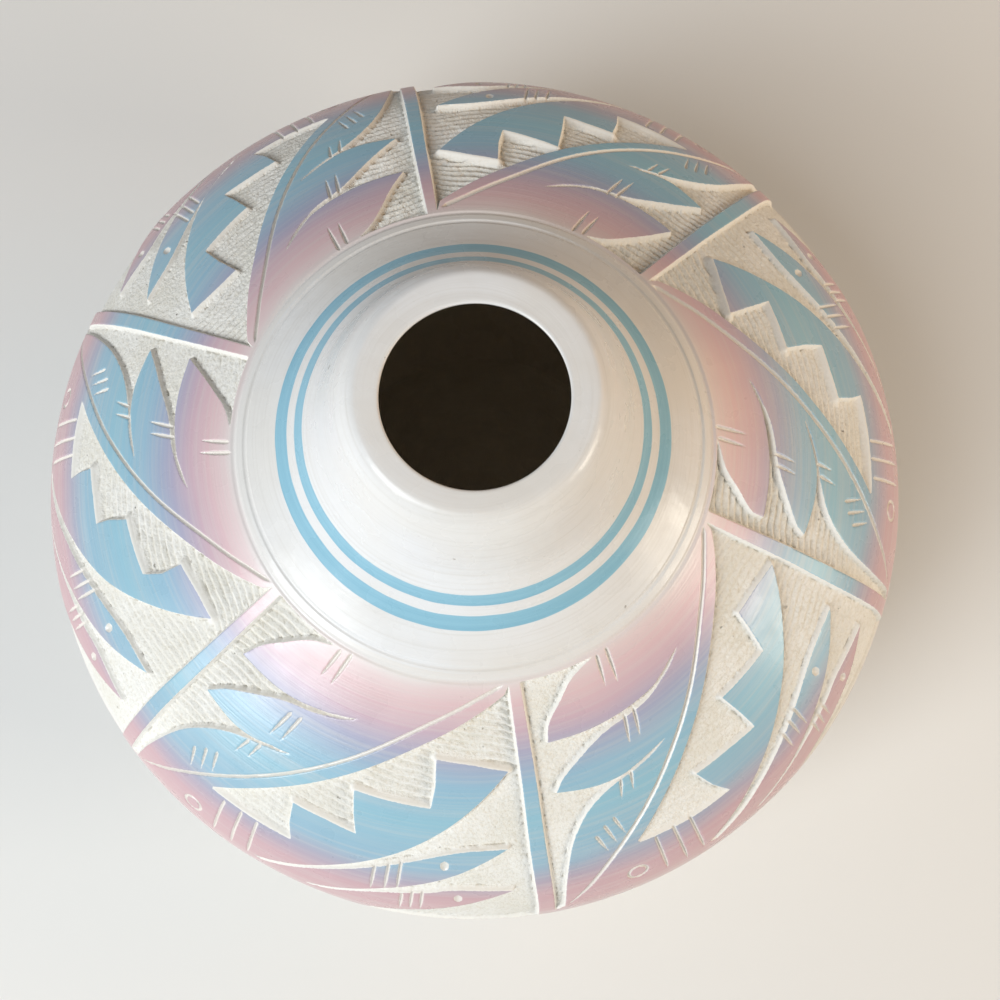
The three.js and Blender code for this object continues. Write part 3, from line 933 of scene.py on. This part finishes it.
for number, (ground_depth, comb_force, drawn) in enumerate(sixths):
    sheet = Sheet(bar_angles[number], (bar_angles + [bar_angles[0] + 360])[number + 1])
    # The grid is moved onto the edges of the grounds, and then it is carved again.
    sheet.snap(sheet.carve(drawn))
    sheet.carve(drawn)
    sheet.comb(*comb_force)
    sixth = new_object(f"shoulder_sixth_{number + 1}", sixth_mesh("sixth", sheet))
    finished_by_nodes(sixth, carve_the_sixth, {
        "Ground Depth": ground_depth * mm,
        "Cut Depth": 1.0 * mm,
        "Comb Pitch": 2.2,
        "Comb Depth": 0.8 * mm,
        "Comb Wander": 2.0,
        "Nick Depth": 0.3 * mm,
        "Ground Unevenness": 0.45 * mm,
        "Carving Seed": 11.0 + number,
        "Material": paint,
        **wheel,
    })
    dress(sixth, "shoulder")


# Neck: the sweep from the shoulder up to the waist, turned on the wheel and burnished white. Two
# rings are painted round it in blue while it spins, over two fine grooves cut where it is seated.

waist_radius, lip_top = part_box("rolled_lip")[1].yz
waist_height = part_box("neck")[1].z
neck_row = 0.22 * mm
neck_length = 31.5 * mm
groove_from_seat = 1.4 * mm
rings = [(39.7 * mm, 42.0 * mm), (44.2 * mm, 47.5 * mm)]

waist = (waist_radius, waist_height, 112)
neck_line = outline(neck_seat, waist, 0.25, 0.35)


def ringed_slip():
    """White slip with the two painted rings, which are a little uneven at their edges."""
    made, tree, shader, position = material_base("ringed_slip")
    unsteady = times(tree, shake(tree, position, 12 * mm, 2.0, 12.0), 0.5 * mm)
    radius = reckon(tree, "ADD", from_axis(tree, position), unsteady)
    skin = slip_colour(tree, position)
    brushed = ramp(tree, turning_lines(tree, position, 1.2 * mm, 14.0), 0.3, 0.7)
    blue = blend(tree, brushed, colour("#86B6CA"), colour("#92C0D2"))
    soft = 0.08 * mm
    for inner, outer in rings:
        over = ramp(tree, radius, inner - soft, inner + soft)
        short = ramp(tree, radius, outer - soft, outer + soft, 1, 0)
        skin = blend(tree, times(tree, over, short), skin, blue)
    burnish(tree, shader, position, skin)
    return made


outer, outs = neck_line(np.linspace(0, 1, round(neck_length / neck_row)))
along = np.concatenate([[0], np.cumsum(np.linalg.norm(np.diff(outer, axis=0), axis=1))])
dip = groove_depth * np.clip(1 - ((along - groove_from_seat) / groove_half) ** 2, 0, 1)
inner, inner_outs = neck_line(np.linspace(1, 0, 16))
points = np.vstack([outer - outs * dip[:, None], inner - inner_outs * wall])
outs = np.vstack([outs, inner_outs * 0])
inside = [0] * len(outer) + [1] * len(inner)
leaning = {"Lean": (1.2 * mm, 0.9 * mm, 0), "Lean From": seat_height, "Lean To": lip_top}
neck = turned_member("neck_sweep", points, outs, inside, ringed_slip(), **leaning)
dress(neck, "neck")


# Rolled lip: the thick roll of clay at the top of the neck. It is turned over by the fingers and
# compressed with a leather, so its crown is smooth. The white slip ends just inside the mouth.

mouth_radius = 20 * mm
mouth_round = 0.8 * mm
flat_radius = 25.2 * mm

rim = (flat_radius, lip_top - 0.15 * mm, 173)
crest = (mouth_radius + mouth_round, lip_top, 180)
mouth = (mouth_radius, lip_top - mouth_round, 285)
inner_waist = (*(np.array(waist[:2]) - wall * direction(waist[2] - 90)), waist[2] + 180)
lip_parts = [
    (outline(waist, rim, 0.5, 0.19), 60),
    (outline(rim, crest, 0.35, 0.35), 16),
    (outline(crest, mouth, 0.55, 0.55), 12),
    (outline(mouth, inner_waist, 0.15, 0.35), 40),
]
faces = [line(np.linspace(0, 1, steps)) for line, steps in lip_parts]
points, outs = (np.vstack([faces[0][k]] + [face[k][1:] for face in faces[1:]]) for k in (0, 1))
mouth_rows, throat_rows = (steps - 1 for _, steps in lip_parts[2:])
outs[-throat_rows:] *= np.linspace(1, 0, throat_rows)[:, None]
crown = np.zeros(len(points) - mouth_rows - throat_rows)
throat = np.clip(np.linspace(0.5, 9, throat_rows), 0, 1)
inside = np.concatenate([crown, np.linspace(0, 0.3, mouth_rows), throat])
cut_off_centre = {"Mouth Shift": (-0.3 * mm, -1.0 * mm, 0), "Mouth Radius": mouth_radius}
lip = turned_member("lip_roll", points, outs, inside, slip, **leaning, **cut_off_centre)
dress(lip, "rolled_lip")


# Floor, light and camera: a plain pale floor, the sky and a window to the left and in front, a window
# and a warm lamp to the right, and the view from just in front of the axis, almost straight down.

floor_size = 3.0
floor_grey = "#E4E3E0"
# The camera is fitted to the circles of the belly, the neck and the mouth. Its angles are in degrees.
camera_place = (0.00404, -0.05469, 0.36509)
camera_tilt = 9.2315
camera_turn = 0.5596


def pale_floor():
    """A square of matt paper, level with the foot of the vase."""
    mesh = bpy.data.meshes.new("floor")
    far = floor_size / 2
    mesh.from_pydata([(-far, -far, 0), (far, -far, 0), (far, far, 0), (-far, far, 0)], [], [(0, 1, 2, 3)])
    floor = new_object("floor", mesh)
    made, tree, shader, _ = material_base("floor_paper")
    connect(tree, shader, {"Base Color": colour(floor_grey), "Roughness": 0.9})
    floor.data.materials.append(made)


def soft_light(name, place, size, power, tint):
    """A square soft light that looks at the shoulder of the vase."""
    lamp = bpy.data.lights.new(name, "AREA")
    lamp.size = size
    lamp.energy = power
    lamp.color = tint
    light = new_object(name, lamp)
    light.location = place
    aim = Vector((0, 0, seat_height)) - light.location
    light.rotation_euler = aim.to_track_quat("-Z", "Y").to_euler()


pale_floor()
# Each light: its place and its size in metres, its power in watts and its tint.
soft_light("sky", (-0.776, -0.606, 1.05), 0.8, 11.2, (0.95, 0.98, 1.0))
soft_light("window", (-0.9, -0.654, 0.72), 0.5, 7.2, (0.93, 0.97, 1.0))
soft_light("far window", (1.06, -0.31, 0.51), 0.4, 5.8, (1.0, 0.92, 0.78))
soft_light("lamp", (0.9, 0.3, 0.55), 0.6, 2.3, (1.0, 0.5, 0.1))
world = bpy.data.worlds.new("room")
bpy.context.scene.world = world
world.use_nodes = True
backdrop = world.node_tree.nodes["Background"]
connect(world.node_tree, backdrop, {"Color": (0.94, 0.97, 1.0, 1), "Strength": 0.17})

tilt = math.radians(camera_tilt)
turn = math.radians(camera_turn)
straight = Vector((0, math.sin(tilt), -math.cos(tilt)))
view_up = Vector((0, math.cos(tilt), math.sin(tilt)))
looking = straight * math.cos(turn) + Vector((1, 0, 0)) * math.sin(turn)
view_right = Vector((1, 0, 0)) * math.cos(turn) - straight * math.sin(turn)
lens = bpy.data.cameras.new("camera")
lens.lens = 36
lens.sensor_width = 36
lens.clip_start = 0.01
camera = new_object("camera", lens)
axes = Matrix((view_right, view_up, -looking)).transposed()
camera.matrix_world = Matrix.Translation(camera_place) @ axes.to_4x4()
bpy.context.scene.camera = camera
bpy.context.scene.view_settings.view_transform = "Standard"
